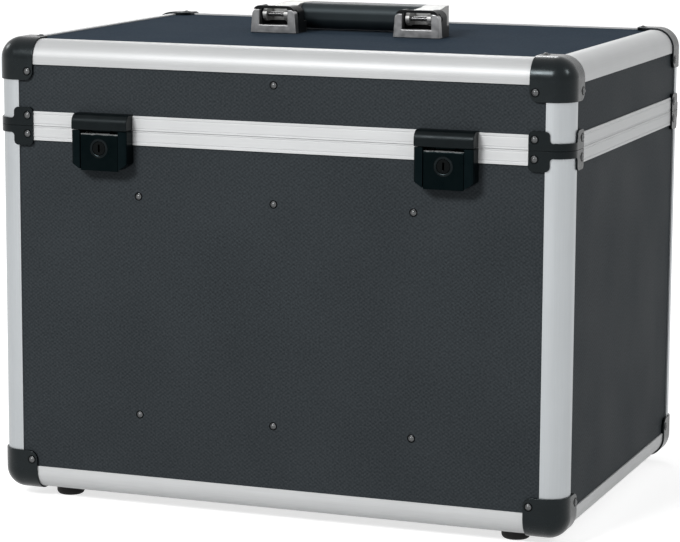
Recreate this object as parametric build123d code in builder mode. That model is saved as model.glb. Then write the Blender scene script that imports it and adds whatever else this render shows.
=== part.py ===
from build123d import *
import os

# Flight case with aluminium edges, a hinged lid, two key latches and a folding handle.
# Millimetres. +Z is up, the front faces -Y. The origin is on the floor, under the
# middle of the whole object.

# Case body, measured over the outer faces of the aluminium edges
case_width = 460.0
case_depth = 328.0
case_height = 354.0
lid_height = 66.0
parting_gap = 0.3

# Panels and aluminium edges
panel_thickness = 6.0
panel_recess = 1.2
skin = 1.2
edge_leg = 18.7
edge_radius = 15.0
slot_floor = 10.5
chamber_start = 2.5
panel_play = 0.3
rail_height = 11.2
line_depth = 0.35
line_width = 0.8
first_line = 1.5
second_line = 8.9

# Tongue on the body rim and groove in the lid rim
tongue_width = 2.0
tongue_tip = 1.2
tongue_height = 2.6
groove_width = 3.4
groove_height = 3.2

# Corner caps and corner clips
cap_leg = 31.0
cap_proud = 1.5
cap_round = 7.0
ball_depth = 13.5
inner_corner_play = 0.3
clip_inner = 15.0
clip_drop = 15.2
clip_rise = 14.2
clip_strap = 5.6
clip_round = 3.5
clip_hollow = 2.5

# Feet
foot_height = 8.0
foot_radius = 11.0
foot_inset_x = 45.0
foot_inset_y = 30.0
foot_taper = 1.2

# Dividers in their channels
divider_spacing = 111.0
divider_thickness = 4.0
divider_drop = 40.0
divider_round = 10.0
divider_play = 0.3
channel_width = 10.0
channel_base = 3.0
channel_lip = 9.0
channel_bottom = 20.0
channel_drop = 26.0

# Latches
latch_x = 138.0
latch_width = 46.0
latch_proud = 12.0
latch_plate = 2.0
latch_drop = 29.5
cheek_width = 7.0
cheek_round = 2.0
cheek_cut = 4.3
cheek_cut_width = 6.3
keeper_rise = 12.3
keeper_round = 7.0
keeper_wall = 2.0
keeper_mouth = 24.0
keeper_depth = 9.5
latch_gap = 0.3
lever_side_gap = 0.5
lever_front = 11.5
lever_thickness = 3.0
lever_top = 2.6
lever_bottom = 30.8
lever_round = 1.5
lever_lip = 1.5
lever_slope = 3.5
latch_pin_out = 5.2
latch_pin_drop = 4.0
latch_pin_radius = 1.3
pin_play = 0.05
pin_wall = 1.5
pin_end_gap = 0.3
eye_radius = 2.8
hook_width = 15.0
hook_thickness = 1.8
hook_rise = 4.3
hook_nose = 1.7
hook_gap = 0.3
hook_set_back = 0.6
neck_height = 2.8
key_drop = 13.5
key_radius = 5.15
key_reach = 6.0
key_proud = 0.3
key_cam_radius = 6.2
key_cam_width = 6.0
key_cam_thickness = 1.3
key_slot_width = 1.4
key_slot_length = 6.0
key_slot_depth = 3.0
spring_radius = 2.2
spring_wire = 0.45
spring_turns = 2.5
spring_pitch = 1.6
spring_inset = 9.6
spring_leg = 9.0

# Stop hinges at the back
hinge_x = 138.0
hinge_width = 50.0
hinge_leaf = 1.5
hinge_reach = 28.0
hinge_axis_out = 4.0
hinge_barrel = 3.25
hinge_pin_radius = 1.5
hinge_gap = 0.3
hinge_knuckles = 3
hinge_web_gap = 0.5
lug_inner = 3.9
lug_thickness = 1.5
lug_rise = 1.2
lug_shelf = 4.1
lug_gap = 0.35
hinge_lid_near = 2.8

# Handle
handle_centre = 60.5
bracket_width = 39.0
bracket_front = -14.0
bezel_depth = 7.0
bezel_height = 19.0
bezel_taper = 1.5
bezel_round = 4.0
window_width = 24.0
window_sill = 6.8
bracket_depth = 30.0
bracket_height = 22.0
ear_width = 6.5
ear_depth = 15.0
ear_round = 8.0
housing_round = 6.0
hood_thickness = 3.0
hood_height = 2.2
rest_height = 9.0
rest_round = 3.0
hood_inset = 0.5
floor_thickness = 2.0
handle_pin_in = 9.0
handle_pin_height = 14.8
handle_pin_radius = 1.9
arm_half_width = 10.6
fork_half_gap = 7.4
fork_depth = 10.0
arm_eye = 5.0
arm_top = 20.0
arm_bottom = 9.5
arm_taper = 3.0
arm_taper_start = 17.0
arm_corner = 11.0
grip_front = 28.2
grip_depth = 30.0
grip_bottom = 1.5
grip_thickness = 21.0
grip_round = 8.5
grip_mitre = 2.0

# Places that follow from the sizes above
inner = panel_recess + panel_thickness + skin
hinge_proud = hinge_axis_out + lug_inner + lug_thickness
middle_y = (latch_proud - hinge_proud) / 2
front_y = middle_y - case_depth / 2
back_y = middle_y + case_depth / 2
right_x = case_width / 2
base_z = foot_height
top_z = base_z + case_height
part_z = top_z - lid_height
panel_top_z = top_z - panel_recess

LOW = (Align.MIN, Align.MIN)
MIDDLE_LOW = (Align.CENTER, Align.MIN)
across_x = Plane.YZ
across_y = Plane.XZ.offset(-middle_y)


def side(name):
    """The plane of one outer side: x runs along the side, y up from the base, z outwards."""
    origins = {
        "front": ((0, front_y, base_z), (1, 0, 0), (0, -1, 0)),
        "back": ((0, back_y, base_z), (-1, 0, 0), (0, 1, 0)),
        "right": ((right_x, middle_y, base_z), (0, 1, 0), (1, 0, 0)),
        "left": ((-right_x, middle_y, base_z), (0, -1, 0), (-1, 0, 0)),
    }
    origin, along, outwards = origins[name]
    return Plane(origin=origin, x_dir=along, z_dir=outwards)


def span(name):
    """Length of a side over its outer corners."""
    return case_width if name in ("front", "back") else case_depth


def save(part, name):
    """Label one finished sub-part and write it."""
    part.label = name
    export_step(part, f"parts/{name}.step")


os.makedirs("parts", exist_ok=True)
side_names = ("front", "back", "left", "right")
parting = part_z - base_z

# Outer form of the closed case: what the hardware is seated on

case_middle = (0, middle_y, base_z + case_height / 2)
with BuildPart() as case_form:
    for plane, width, height in (
        (Plane.XY, case_width, case_depth),
        (Plane.XZ, case_width, case_height),
        (Plane.YZ, case_depth, case_height),
    ):
        mode = Mode.INTERSECT if case_form.part else Mode.ADD
        with BuildSketch(Plane(origin=case_middle, x_dir=plane.x_dir, z_dir=plane.z_dir)):
            RectangleRounded(width, height, edge_radius)
        extrude(amount=case_width, both=True, mode=mode)
    for x_sign in (-1, 1):
        for y_sign in (-1, 1):
            for z_sign in (-1, 1):
                outwards = Vector(x_sign, y_sign, z_sign)
                ball_x = x_sign * (case_width / 2 - edge_radius)
                ball_y = y_sign * (case_depth / 2 - edge_radius)
                ball_z = z_sign * (case_height / 2 - edge_radius)
                ball = Vector(*case_middle) + Vector(ball_x, ball_y, ball_z)
                flat = Plane(origin=ball + outwards.normalized() * ball_depth, z_dir=outwards)
                split(bisect_by=flat, keep=Keep.BOTTOM)
    for name in side_names:
        pocket_width = span(name) - 2 * edge_leg
        body_pocket = parting - rail_height - edge_leg
        lid_pocket = lid_height - rail_height - edge_leg
        with BuildSketch(side(name)):
            with Locations((0, edge_leg + body_pocket / 2)):
                Rectangle(pocket_width, body_pocket)
            with Locations((0, parting + rail_height + lid_pocket / 2)):
                Rectangle(pocket_width, lid_pocket)
        extrude(amount=-panel_recess, mode=Mode.SUBTRACT)
    for level, towards in ((top_z, -panel_recess), (base_z, panel_recess)):
        with BuildSketch(Plane.XY.offset(level)):
            with Locations((0, middle_y)):
                Rectangle(case_width - 2 * edge_leg, case_depth - 2 * edge_leg)
        extrude(amount=towards, mode=Mode.SUBTRACT)

with BuildPart() as cap_form:
    with Locations(case_middle):
        Box(case_width + 2 * cap_proud, case_depth + 2 * cap_proud, case_height + 2 * cap_proud)
    fillet(cap_form.edges(), edge_radius + cap_proud)

# Panels, held in the slots of the edges

panel_end = slot_floor + panel_play
rail_web = skin + parting_gap / 2
body_panel_top = parting - rail_web - panel_play
lid_panel_bottom = parting + parting_gap / 2 + groove_height + skin + panel_play
lid_panel_top = case_height - panel_end

def side_panel(name, bottom, top):
    """One upright panel between two heights above the base."""
    with BuildPart() as panel:
        with BuildSketch(side(name).offset(-panel_recess)):
            with Locations((0, (bottom + top) / 2)):
                Rectangle(span(name) - 2 * panel_end, top - bottom)
        extrude(amount=-panel_thickness)
    return panel.part


for name in side_names:
    save(side_panel(name, panel_end, body_panel_top), f"body_{name}_panel")
    save(side_panel(name, lid_panel_bottom, lid_panel_top), f"lid_{name}_panel")


def flat_panel(face_z, into):
    """The bottom or top panel. into is 1 where the inside lies above the face, or -1."""
    with BuildPart() as panel:
        with BuildSketch(Plane.XY.offset(face_z)):
            with Locations((0, middle_y)):
                Rectangle(case_width - 2 * panel_end, case_depth - 2 * panel_end)
        extrude(amount=into * panel_thickness)
    return panel.part


save(flat_panel(base_z + panel_recess, 1), "body_bottom_panel")
save(flat_panel(panel_top_z, -1), "lid_top_panel")


# Rounded edge extrusion: a quarter round with a slot for each of its two panels

chamber_end = slot_floor - skin
with BuildSketch() as edge_chamber:
    with BuildLine():
        Polyline(
            (chamber_start, chamber_end),
            (chamber_end, chamber_start),
            (chamber_end, inner - skin),
            (inner - skin, inner - skin),
            (inner - skin, chamber_end),
            close=True,
        )
    make_face()

with BuildSketch() as edge_profile:
    Rectangle(edge_leg, edge_leg, align=LOW)
    fillet(edge_profile.vertices().sort_by_distance((0, 0, 0))[0], edge_radius)
    with Locations((inner, inner)):
        Rectangle(edge_leg, edge_leg, align=LOW, mode=Mode.SUBTRACT)
    with Locations((slot_floor, panel_recess)):
        Rectangle(edge_leg, panel_thickness, align=LOW, mode=Mode.SUBTRACT)
    with Locations((panel_recess, slot_floor)):
        Rectangle(panel_thickness, edge_leg, align=LOW, mode=Mode.SUBTRACT)
    add(edge_chamber.sketch, mode=Mode.SUBTRACT)

edge_stop = edge_leg + skin


def edge(corner, first, second, length):
    """A length of the extrusion about a point of the case's sharp outer edge."""
    along = Vector(*first).cross(Vector(*second))
    with BuildPart() as bar:
        with BuildSketch(Plane(origin=corner, x_dir=first, z_dir=along)):
            add(edge_profile.sketch)
        extrude(amount=length / 2, both=True)
    return bar.part


inwards = {"front": (0, 1, 0), "back": (0, -1, 0), "left": (1, 0, 0), "right": (-1, 0, 0)}
face_at = {
    "front": (0, front_y),
    "back": (0, back_y),
    "left": (-right_x, middle_y),
    "right": (right_x, middle_y),
}
for name in side_names:
    x, y = face_at[name]
    length = span(name) - 2 * edge_stop
    save(edge((x, y, base_z), inwards[name], (0, 0, 1), length), f"base_{name}_edge")
    save(edge((x, y, top_z), inwards[name], (0, 0, -1), length), f"top_{name}_edge")


def posts(bottom, top):
    """The four upright edges between two levels."""
    with BuildPart() as group:
        with BuildSketch(Plane.XY.offset(bottom)):
            for x_sign in (-1, 1):
                for y_sign in (-1, 1):
                    turn = {(-1, -1): 0, (1, -1): 90, (1, 1): 180, (-1, 1): 270}[(x_sign, y_sign)]
                    with Locations((x_sign * right_x, middle_y + y_sign * case_depth / 2)):
                        add(edge_profile.sketch, rotation=turn)
        extrude(amount=top - bottom)
    return group.part


save(posts(base_z + edge_stop, part_z - parting_gap / 2), "body_posts")
save(posts(part_z + parting_gap / 2, top_z - edge_stop), "lid_posts")


# Rim rails on both sides of the parting line, with a tongue below and a groove above


def rail_plane(name):
    """Section plane of a rail: x inwards from the side's face, y up from the parting line."""
    x, y = face_at[name]
    into = Vector(*inwards[name])
    return Plane(origin=(x, y, part_z), x_dir=into, z_dir=into.cross(Vector(0, 0, 1)))


def rim_lines(direction):
    """Two fine lines along the outer face of a rail."""
    for height in (first_line, second_line):
        with Locations((0, direction * height)):
            Rectangle(2 * line_depth, line_width, mode=Mode.SUBTRACT)


def body_rail(name):
    """Lower rim rail with its tongue."""
    top = -parting_gap / 2
    slot_height = rail_height - skin + top
    with BuildPart() as rail:
        with BuildSketch(rail_plane(name)):
            with Locations((0, -rail_height)):
                Rectangle(inner, rail_height + top, align=LOW)
            with Locations((panel_recess, -rail_height)):
                Rectangle(panel_thickness, slot_height, align=LOW, mode=Mode.SUBTRACT)
            with BuildLine():
                Polyline(
                    ((inner - tongue_width) / 2, top),
                    ((inner + tongue_width) / 2, top),
                    ((inner + tongue_tip) / 2, tongue_height),
                    ((inner - tongue_tip) / 2, tongue_height),
                    close=True,
                )
            make_face()
            rim_lines(-1)
        extrude(amount=span(name) / 2 - edge_leg, both=True)
    return rail.part


def lid_rail(name):
    """Upper rim rail with its groove."""
    bottom = parting_gap / 2
    slot_start = bottom + groove_height + skin
    with BuildPart() as rail:
        with BuildSketch(rail_plane(name)):
            with Locations((0, bottom)):
                Rectangle(inner, rail_height - bottom, align=LOW)
            with Locations((panel_recess, slot_start)):
                Rectangle(panel_thickness, rail_height, align=LOW, mode=Mode.SUBTRACT)
            with Locations(((inner - groove_width) / 2, bottom)):
                Rectangle(groove_width, groove_height, align=LOW, mode=Mode.SUBTRACT)
            rim_lines(1)
        extrude(amount=span(name) / 2 - edge_leg, both=True)
    return rail.part


for name in side_names:
    save(body_rail(name), f"body_{name}_rail")
    save(lid_rail(name), f"lid_{name}_rail")


# Corner caps: shells that follow the rounded edges and end in a ball corner


def four_corners():
    """Copy what stands at the right front corner to the other three."""
    mirror(about=across_x)
    mirror(about=across_y)


def corner_cap(level, up):
    """Four caps at the base or the top. up is 1 for the base and -1 for the top."""
    rise = Align.MIN if up > 0 else Align.MAX
    size = cap_leg + cap_proud
    outer = (right_x + cap_proud, front_y - cap_proud, level - up * cap_proud)
    far = (right_x - cap_leg, front_y + cap_leg, level + up * cap_leg)
    with BuildPart() as caps:
        with Locations(outer):
            Box(size, size, size, align=(Align.MAX, Align.MIN, rise))
        fillet(caps.edges().sort_by_distance(far)[:3], cap_round)
        four_corners()
        add(cap_form.part, mode=Mode.INTERSECT)
        add(case_form.part, mode=Mode.SUBTRACT)
    return caps.part


save(corner_cap(base_z, 1), "body_corner_caps")
save(corner_cap(top_z, -1), "lid_corner_caps")


# Inner corners: they close the inside of a corner, where the three edges stop


def inner_corners(level, up):
    """Four corners, each of three thin plates on the inner faces of the panels."""
    rise = Align.MIN if up > 0 else Align.MAX
    align = (Align.MAX, Align.MIN, rise)
    back = inner - skin
    size = edge_stop - back - inner_corner_play
    with BuildPart() as corners:
        with Locations((right_x - back, front_y + back, level + up * back)):
            Box(size, size, size, align=align)
        with Locations((right_x - inner, front_y + inner, level + up * inner)):
            Box(size, size, size, align=align, mode=Mode.SUBTRACT)
        four_corners()
    return corners.part


save(inner_corners(base_z, 1), "body_inner_corners")
save(inner_corners(top_z, -1), "lid_inner_corners")


# Corner clips at the parting line: a strap round the post with a riveted flap on each side


def clip_points(name, direction, reach):
    """Corners of one flap with its strap, on the side where the corner is."""
    corner = span(name) / 2
    sign = 1 if name == "front" else -1
    start = parting + direction * parting_gap / 2
    strap = parting + direction * clip_strap
    end = parting + direction * reach
    return [
        (sign * (corner - cap_leg), start),
        (sign * (corner - cap_leg), end),
        (sign * (corner - clip_inner), end),
        (sign * (corner - clip_inner), strap),
        (sign * (corner + cap_proud), strap),
        (sign * (corner + cap_proud), start),
    ]


def corner_clips(direction, reach):
    """Four clips on the body or the lid. direction is -1 below the parting line."""
    with BuildPart() as clips:
        for name in ("front", "right"):
            with BuildSketch(side(name).offset(cap_proud)) as outline:
                with BuildLine():
                    Polyline(*clip_points(name, direction, reach), close=True)
                make_face()
                ends = outline.vertices().group_by(Axis.Y)[-1 if direction > 0 else 0]
                fillet(ends, clip_round)
                notch = (*clip_points(name, direction, reach)[3], 0)
                fillet(outline.vertices().sort_by_distance(notch)[0], clip_hollow)
            extrude(amount=-edge_radius - cap_proud)
        four_corners()
        add(cap_form.part, mode=Mode.INTERSECT)
        add(case_form.part, mode=Mode.SUBTRACT)
    return clips.part


save(corner_clips(-1, clip_drop), "body_corner_clips")
save(corner_clips(1, clip_rise), "lid_corner_clips")


# Rubber feet

foot_top = base_z + panel_recess
foot_x = case_width / 2 - foot_inset_x
foot_y = case_depth / 2 - foot_inset_y
foot_spots = [(x, middle_y + y) for x in (-foot_x, foot_x) for y in (-foot_y, foot_y)]

with BuildPart() as one_foot:
    with BuildSketch(Plane.XZ):
        with BuildLine():
            Polyline(
                (0, foot_top),
                (foot_radius, foot_top),
                (foot_radius - foot_taper, 0),
                (0, 0),
                close=True,
            )
        make_face()
    revolve(axis=Axis.Z)

with BuildPart() as feet:
    with Locations(*foot_spots):
        add(one_foot.part)
save(feet.part, "feet")


# Divider channels and dividers

divider_columns = (-divider_spacing, 0, divider_spacing)
divider_top = parting - divider_drop
channel_top = parting - channel_drop
channel_slot = divider_thickness + 2 * divider_play
channel_face = panel_recess + panel_thickness

with BuildPart() as divider_channels:
    for name in ("front", "back"):
        with BuildSketch(side(name).offset(-channel_face)):
            with Locations(*[(x, (channel_bottom + channel_top) / 2) for x in divider_columns]):
                Rectangle(channel_width, channel_top - channel_bottom)
        extrude(amount=-channel_base - channel_lip)
        with BuildSketch(side(name).offset(-channel_face - channel_base)):
            with Locations(*[(x, (channel_bottom + channel_top) / 2) for x in divider_columns]):
                Rectangle(channel_slot, channel_top - channel_bottom)
        extrude(amount=-channel_lip, mode=Mode.SUBTRACT)
save(divider_channels.part, "divider_channels")

divider_bottom = inner + divider_play
divider_width = case_depth - 2 * (channel_face + channel_base + divider_play)
for column, name in zip(divider_columns, ("divider_left", "divider_middle", "divider_right")):
    with BuildPart() as divider:
        with BuildSketch(Plane.YZ.offset(column - divider_thickness / 2)) as outline:
            with Locations((middle_y, base_z + (divider_bottom + divider_top) / 2)):
                Rectangle(divider_width, divider_top - divider_bottom)
            fillet(outline.vertices().group_by(Axis.Y)[-1], divider_round)
        extrude(amount=divider_thickness)
    save(divider.part, name)


# Latches


def out(distance):
    """Y of a point that stands this far out from the front."""
    return front_y - distance


def keeper(centre):
    """Hood on the lid that the hook of the lever reaches into."""
    with BuildPart() as hood:
        with BuildSketch(Plane.YZ.offset(centre - latch_width / 2)):
            with BuildLine():
                Polyline(
                    (out(-panel_recess), part_z + latch_gap),
                    (out(latch_proud), part_z + latch_gap),
                    (out(latch_proud), part_z + keeper_rise - keeper_round),
                )
                RadiusArc(
                    (out(latch_proud), part_z + keeper_rise - keeper_round),
                    (out(latch_proud - keeper_round), part_z + keeper_rise),
                    keeper_round,
                )
                Polyline(
                    (out(latch_proud - keeper_round), part_z + keeper_rise),
                    (out(-panel_recess), part_z + keeper_rise),
                    (out(-panel_recess), part_z + latch_gap),
                )
            make_face()
        extrude(amount=latch_width)
        with BuildSketch(Plane.YZ.offset(centre - keeper_mouth / 2)):
            with Locations((out(latch_proud - keeper_wall), part_z)):
                Rectangle(latch_proud - keeper_wall, keeper_depth, align=LOW)
        extrude(amount=keeper_mouth, mode=Mode.SUBTRACT)
        add(case_form.part, mode=Mode.SUBTRACT)
    return hood.part


with BuildPart() as latch_keepers:
    add(keeper(-latch_x))
    add(keeper(latch_x))
save(latch_keepers.part, "latch_keepers")

channel_half = latch_width / 2 - cheek_width
lever_half = channel_half - lever_side_gap
pin_y = out(latch_pin_out)
pin_z = part_z - latch_pin_drop


def latch_base(centre):
    """Plate on the body with a cheek on each side of the lever."""
    with BuildPart() as base:
        with BuildSketch(side("front").offset(latch_proud)):
            with BuildLine():
                Polyline(
                    (centre - latch_width / 2, parting - latch_gap),
                    (centre + latch_width / 2, parting - latch_gap),
                    (centre + latch_width / 2, parting - latch_drop + cheek_cut),
                    (centre + latch_width / 2 - cheek_cut_width, parting - latch_drop),
                    (centre - latch_width / 2 + cheek_cut_width, parting - latch_drop),
                    (centre - latch_width / 2, parting - latch_drop + cheek_cut),
                    close=True,
                )
            make_face()
        extrude(amount=-latch_proud - panel_recess)
        uprights = base.edges().filter_by(Axis.Z).group_by(Axis.Y)[0]
        fillet(uprights, cheek_round)
        with BuildSketch(side("front").offset(latch_proud)):
            with Locations((centre, parting - latch_drop / 2)):
                Rectangle(2 * channel_half, latch_drop)
        extrude(amount=latch_plate - latch_proud, mode=Mode.SUBTRACT)
        with BuildSketch(Plane.YZ.offset(centre)):
            with Locations((pin_y, pin_z)):
                Circle(latch_pin_radius + pin_play)
        extrude(amount=latch_width / 2 - pin_wall, both=True, mode=Mode.SUBTRACT)
        add(case_form.part, mode=Mode.SUBTRACT)
    return base.part


def latch_lever(centre):
    """Lever with the pin eyes, the hook and the boss of the key plug."""
    back = lever_front - lever_thickness
    with BuildPart() as lever:
        with BuildSketch(Plane.YZ.offset(centre - lever_half)) as plate:
            with BuildLine():
                Polyline(
                    (out(back), part_z - lever_top),
                    (out(lever_front), part_z - lever_top),
                    (out(lever_front), part_z - lever_bottom),
                    (out(lever_front - lever_lip), part_z - lever_bottom),
                    (out(back), part_z - lever_bottom + lever_slope),
                    close=True,
                )
            make_face()
            corner = (out(lever_front), part_z - lever_top, 0)
            fillet(plate.vertices().sort_by_distance(corner)[0], lever_round)
        extrude(amount=2 * lever_half)
        hook_back = latch_pin_out - hook_set_back
        with BuildSketch(Plane.YZ.offset(centre - hook_width / 2)):
            with Locations((pin_y, pin_z)):
                Circle(eye_radius)
            with Locations((out(back), pin_z)):
                Rectangle(back - latch_pin_out, neck_height, align=(Align.MIN, Align.CENTER))
            with Locations((out(hook_back + hook_thickness), pin_z)):
                Rectangle(hook_thickness, hook_rise + latch_pin_drop, align=LOW)
            with Locations((out(latch_proud - keeper_wall - hook_gap), part_z + hook_rise - hook_nose)):
                nose = latch_proud - keeper_wall - hook_gap - hook_back
                Rectangle(nose, hook_nose, align=LOW)
        extrude(amount=hook_width)
        with BuildSketch(Plane.YZ.offset(centre)):
            with Locations((pin_y, pin_z)):
                Circle(latch_pin_radius + pin_play)
        extrude(amount=hook_width, both=True, mode=Mode.SUBTRACT)
        with BuildSketch(side("front").offset(lever_front)):
            with Locations((centre, parting - key_drop)):
                Circle(key_radius + pin_play)
        extrude(amount=-lever_thickness, mode=Mode.SUBTRACT)
    return lever.part


def key_plug(centre):
    """Round key plug with its slot in front and its cam behind the lever."""
    cam_face = lever_front - key_reach - latch_gap
    plug_front = lever_front + key_proud
    with BuildPart() as plug:
        with BuildSketch(side("front").offset(plug_front)):
            with Locations((centre, parting - key_drop)):
                Circle(key_radius)
        extrude(amount=cam_face - plug_front)
        with BuildSketch(side("front").offset(cam_face)):
            with Locations((centre, parting - key_drop)):
                Circle(key_cam_radius)
                Rectangle(key_cam_width, 2 * key_cam_radius, mode=Mode.INTERSECT)
        extrude(amount=-key_cam_thickness)
        with BuildSketch(side("front").offset(plug_front)):
            with Locations((centre, parting - key_drop)):
                Rectangle(key_slot_width, key_slot_length)
        extrude(amount=-key_slot_depth, mode=Mode.SUBTRACT)
    return plug.part


for centre, hand in ((-latch_x, "left"), (latch_x, "right")):
    save(latch_base(centre), f"{hand}_latch_base")
    save(latch_lever(centre), f"{hand}_latch_lever")
    save(key_plug(centre), f"{hand}_key_plug")

with BuildPart() as latch_pins:
    for centre in (-latch_x, latch_x):
        with BuildSketch(Plane.YZ.offset(centre)):
            with Locations((pin_y, pin_z)):
                Circle(latch_pin_radius)
        extrude(amount=latch_width / 2 - pin_wall - pin_end_gap, both=True)
save(latch_pins.part, "latch_pins")


# Torsion spring of a latch, coiled about Z from one leg at the plate to one at the lever
with BuildPart() as one_spring:
    with BuildLine():
        turns = Helix(spring_pitch, spring_turns * spring_pitch, spring_radius)
    with BuildSketch(Plane(origin=turns @ 0, z_dir=turns % 0)):
        RegularPolygon(spring_wire, 4)
    sweep(path=turns, is_frenet=True)
    for end in (0, 1):
        with BuildSketch(Plane(origin=turns @ end, z_dir=(0, -1, 0))):
            RegularPolygon(spring_wire, 4)
        extrude(amount=spring_leg)

with BuildPart() as latch_springs:
    for centre in (-latch_x, latch_x):
        start = (centre - spring_inset - spring_turns * spring_pitch, pin_y, pin_z)
        with Locations(Plane(origin=start, x_dir=(0, 1, 0), z_dir=(1, 0, 0)).location):
            add(one_spring.part)
save(latch_springs.part, "latch_springs")


# Stop hinges

axis_y = back_y + hinge_axis_out
knuckle = hinge_width / hinge_knuckles


def knuckle_starts(centre, first):
    """Left ends of every second knuckle of a hinge."""
    return [centre - hinge_width / 2 + i * knuckle for i in range(first, hinge_knuckles, 2)]


def hinge_leaves(direction, first, near):
    """One leaf of each hinge with its knuckles: -1 is the body's leaf and 1 the lid's."""
    web_start = part_z + direction * hinge_web_gap
    web = hinge_barrel - hinge_web_gap
    middle = direction * (near + hinge_reach) / 2
    with BuildPart() as leaves:
        for centre in (-hinge_x, hinge_x):
            with BuildSketch(side("back").offset(hinge_leaf)):
                with Locations((-centre, parting + middle)):
                    Rectangle(hinge_width, hinge_reach - near)
            extrude(amount=-hinge_leaf - panel_recess)
            for start in knuckle_starts(centre, first):
                with BuildSketch(Plane.YZ.offset(start + hinge_gap / 2)):
                    with Locations((axis_y, part_z)):
                        Circle(hinge_barrel)
                    with Locations((back_y, web_start + direction * web / 2)):
                        Rectangle(hinge_axis_out, web, align=(Align.MIN, Align.CENTER))
                    with Locations((back_y, part_z + direction * (hinge_web_gap + near) / 2)):
                        Rectangle(hinge_leaf, near - hinge_web_gap, align=(Align.MIN, Align.CENTER))
                    with Locations((axis_y, part_z)):
                        Circle(hinge_pin_radius + pin_play, mode=Mode.SUBTRACT)
                extrude(amount=knuckle - hinge_gap)
            if direction < 0:
                for start in knuckle_starts(centre, 1 - first):
                    with BuildSketch(Plane.YZ.offset(start + hinge_gap / 2)):
                        with Locations((back_y, part_z - lug_shelf - lug_thickness)):
                            Rectangle(hinge_proud, lug_thickness, align=LOW)
                        with Locations((axis_y + lug_inner, part_z - lug_shelf - lug_thickness)):
                            Rectangle(lug_thickness, lug_shelf + lug_thickness + lug_rise, align=LOW)
                    extrude(amount=knuckle - hinge_gap)
        add(case_form.part, mode=Mode.SUBTRACT)
    return leaves.part


save(hinge_leaves(-1, 0, hinge_barrel + lug_gap), "hinge_body_leaves")
save(hinge_leaves(1, 1, hinge_lid_near), "hinge_lid_leaves")

with BuildPart() as hinge_pins:
    for centre in (-hinge_x, hinge_x):
        with BuildSketch(Plane.YZ.offset(centre)):
            with Locations((axis_y, part_z)):
                Circle(hinge_pin_radius)
        extrude(amount=hinge_width / 2, both=True)
save(hinge_pins.part, "hinge_pins")


# Handle: brackets on the lid, pewter bezels, pins, cast arms and a rubber grip

bracket_y = middle_y + bracket_front
swing_y = bracket_y + handle_pin_in
swing_z = panel_top_z + handle_pin_height
grip_start = swing_y + grip_front
grip_y = grip_start + grip_depth / 2
grip_z = panel_top_z + grip_bottom + grip_thickness / 2
centres = (-handle_centre, handle_centre)


def bracket_face(centre):
    """Front plane of a bracket: x to the right of its middle, y up from the top panel."""
    return Plane(origin=(centre, bracket_y, panel_top_z), x_dir=(1, 0, 0), z_dir=(0, -1, 0))


with BuildPart() as handle_bezels:
    for centre in centres:
        with BuildSketch(bracket_face(centre)) as face:
            with BuildLine():
                Polyline(
                    (-bracket_width / 2, 0),
                    (bracket_width / 2, 0),
                    (bracket_width / 2 - bezel_taper, bezel_height),
                    (-bracket_width / 2 + bezel_taper, bezel_height),
                    close=True,
                )
            make_face()
            fillet(face.vertices().group_by(Axis.Y)[-1], bezel_round)
            with Locations((0, window_sill)):
                Rectangle(window_width, bezel_height, align=MIDDLE_LOW, mode=Mode.SUBTRACT)
        extrude(amount=-bezel_depth)
save(handle_bezels.part, "handle_bezels")

ear_outer = bracket_width / 2 - bezel_taper
ear_start = bracket_y + bezel_depth
with BuildPart() as housings:
    for centre in centres:
        with BuildSketch(bracket_face(centre)) as housing:
            Rectangle(2 * ear_outer, bracket_height, align=MIDDLE_LOW)
            fillet(housing.vertices().group_by(Axis.Y)[-1], housing_round)
        extrude(amount=-bracket_depth)

with BuildPart() as handle_bases:
    for centre in centres:
        with BuildSketch(Plane.XY.offset(panel_top_z)) as floor:
            with Locations((centre, ear_start)):
                Rectangle(2 * ear_outer, bracket_depth - bezel_depth, align=MIDDLE_LOW)
            fillet(floor.vertices().group_by(Axis.Y)[-1], rest_round)
        extrude(amount=floor_thickness)
        with BuildSketch(Plane.XY.offset(panel_top_z)) as rest:
            with Locations((centre, ear_start + ear_depth)):
                depth = bracket_depth - bezel_depth - ear_depth
                Rectangle(2 * ear_outer, depth, align=MIDDLE_LOW)
            fillet(rest.vertices().group_by(Axis.Y)[-1], rest_round)
        extrude(amount=rest_height)
        for direction in (-1, 1):
            ear_x = centre + direction * (ear_outer - ear_width / 2) - ear_width / 2
            with BuildSketch(Plane.YZ.offset(ear_x)) as ear:
                with Locations((ear_start, panel_top_z)):
                    Rectangle(ear_depth, bracket_height, align=LOW)
                crown = (ear_start + ear_depth, panel_top_z + bracket_height, 0)
                fillet(ear.vertices().sort_by_distance(crown)[0], ear_round)
                with Locations((swing_y, swing_z)):
                    Circle(handle_pin_radius + pin_play, mode=Mode.SUBTRACT)
            extrude(amount=ear_width)
            with BuildSketch(Plane.YZ.offset(ear_x)):
                with Locations((bracket_y + hood_inset, panel_top_z + bezel_height)):
                    Rectangle(bezel_depth - hood_inset, bracket_height - bezel_height, align=LOW)
            extrude(amount=ear_width)
        with BuildSketch(Plane.YZ.offset(centre - ear_outer)) as hood:
            with Locations((bracket_y + hood_inset, panel_top_z + bracket_height - hood_height)):
                Rectangle(hood_thickness, hood_height, align=LOW)
        extrude(amount=2 * ear_outer)
    add(housings.part, mode=Mode.INTERSECT)
save(handle_bases.part, "handle_bases")

with BuildPart() as handle_pins:
    for centre in centres:
        with BuildSketch(Plane.YZ.offset(centre)):
            with Locations((swing_y, swing_z)):
                Circle(handle_pin_radius)
        extrude(amount=ear_outer - hood_inset, both=True)
save(handle_pins.part, "handle_pins")


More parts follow.
